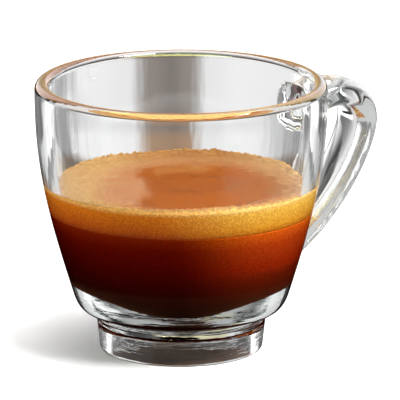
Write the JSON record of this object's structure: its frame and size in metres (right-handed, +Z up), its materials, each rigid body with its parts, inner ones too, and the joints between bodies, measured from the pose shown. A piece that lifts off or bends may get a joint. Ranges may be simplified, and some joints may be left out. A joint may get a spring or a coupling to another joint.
{
  "type": "double espresso in a glass cup",
  "caption": "Double espresso under a thick crema in a tapered clear glass cup with a hollow foot and a looped strap handle.",
  "frame": {"origin": "centre of the bounding box's underside, on the surface that the foot stands on; the cup's own axis is 8.65 mm from it towards -X", "axes": "+Z up along the cup's axis, +X from the cup's axis towards the handle"},
  "size_m": [0.0822, 0.065, 0.0609],
  "materials": {
    "clear_glass": "clear pressed glass, fire-polished",
    "espresso": "dark red-brown liquid",
    "crema": "fine golden-brown froth"
  },
  "bodies": {
    "root": {"glass_cup": "clear_glass", "espresso": "espresso", "crema": "crema"}
  },
  "joints": []
}
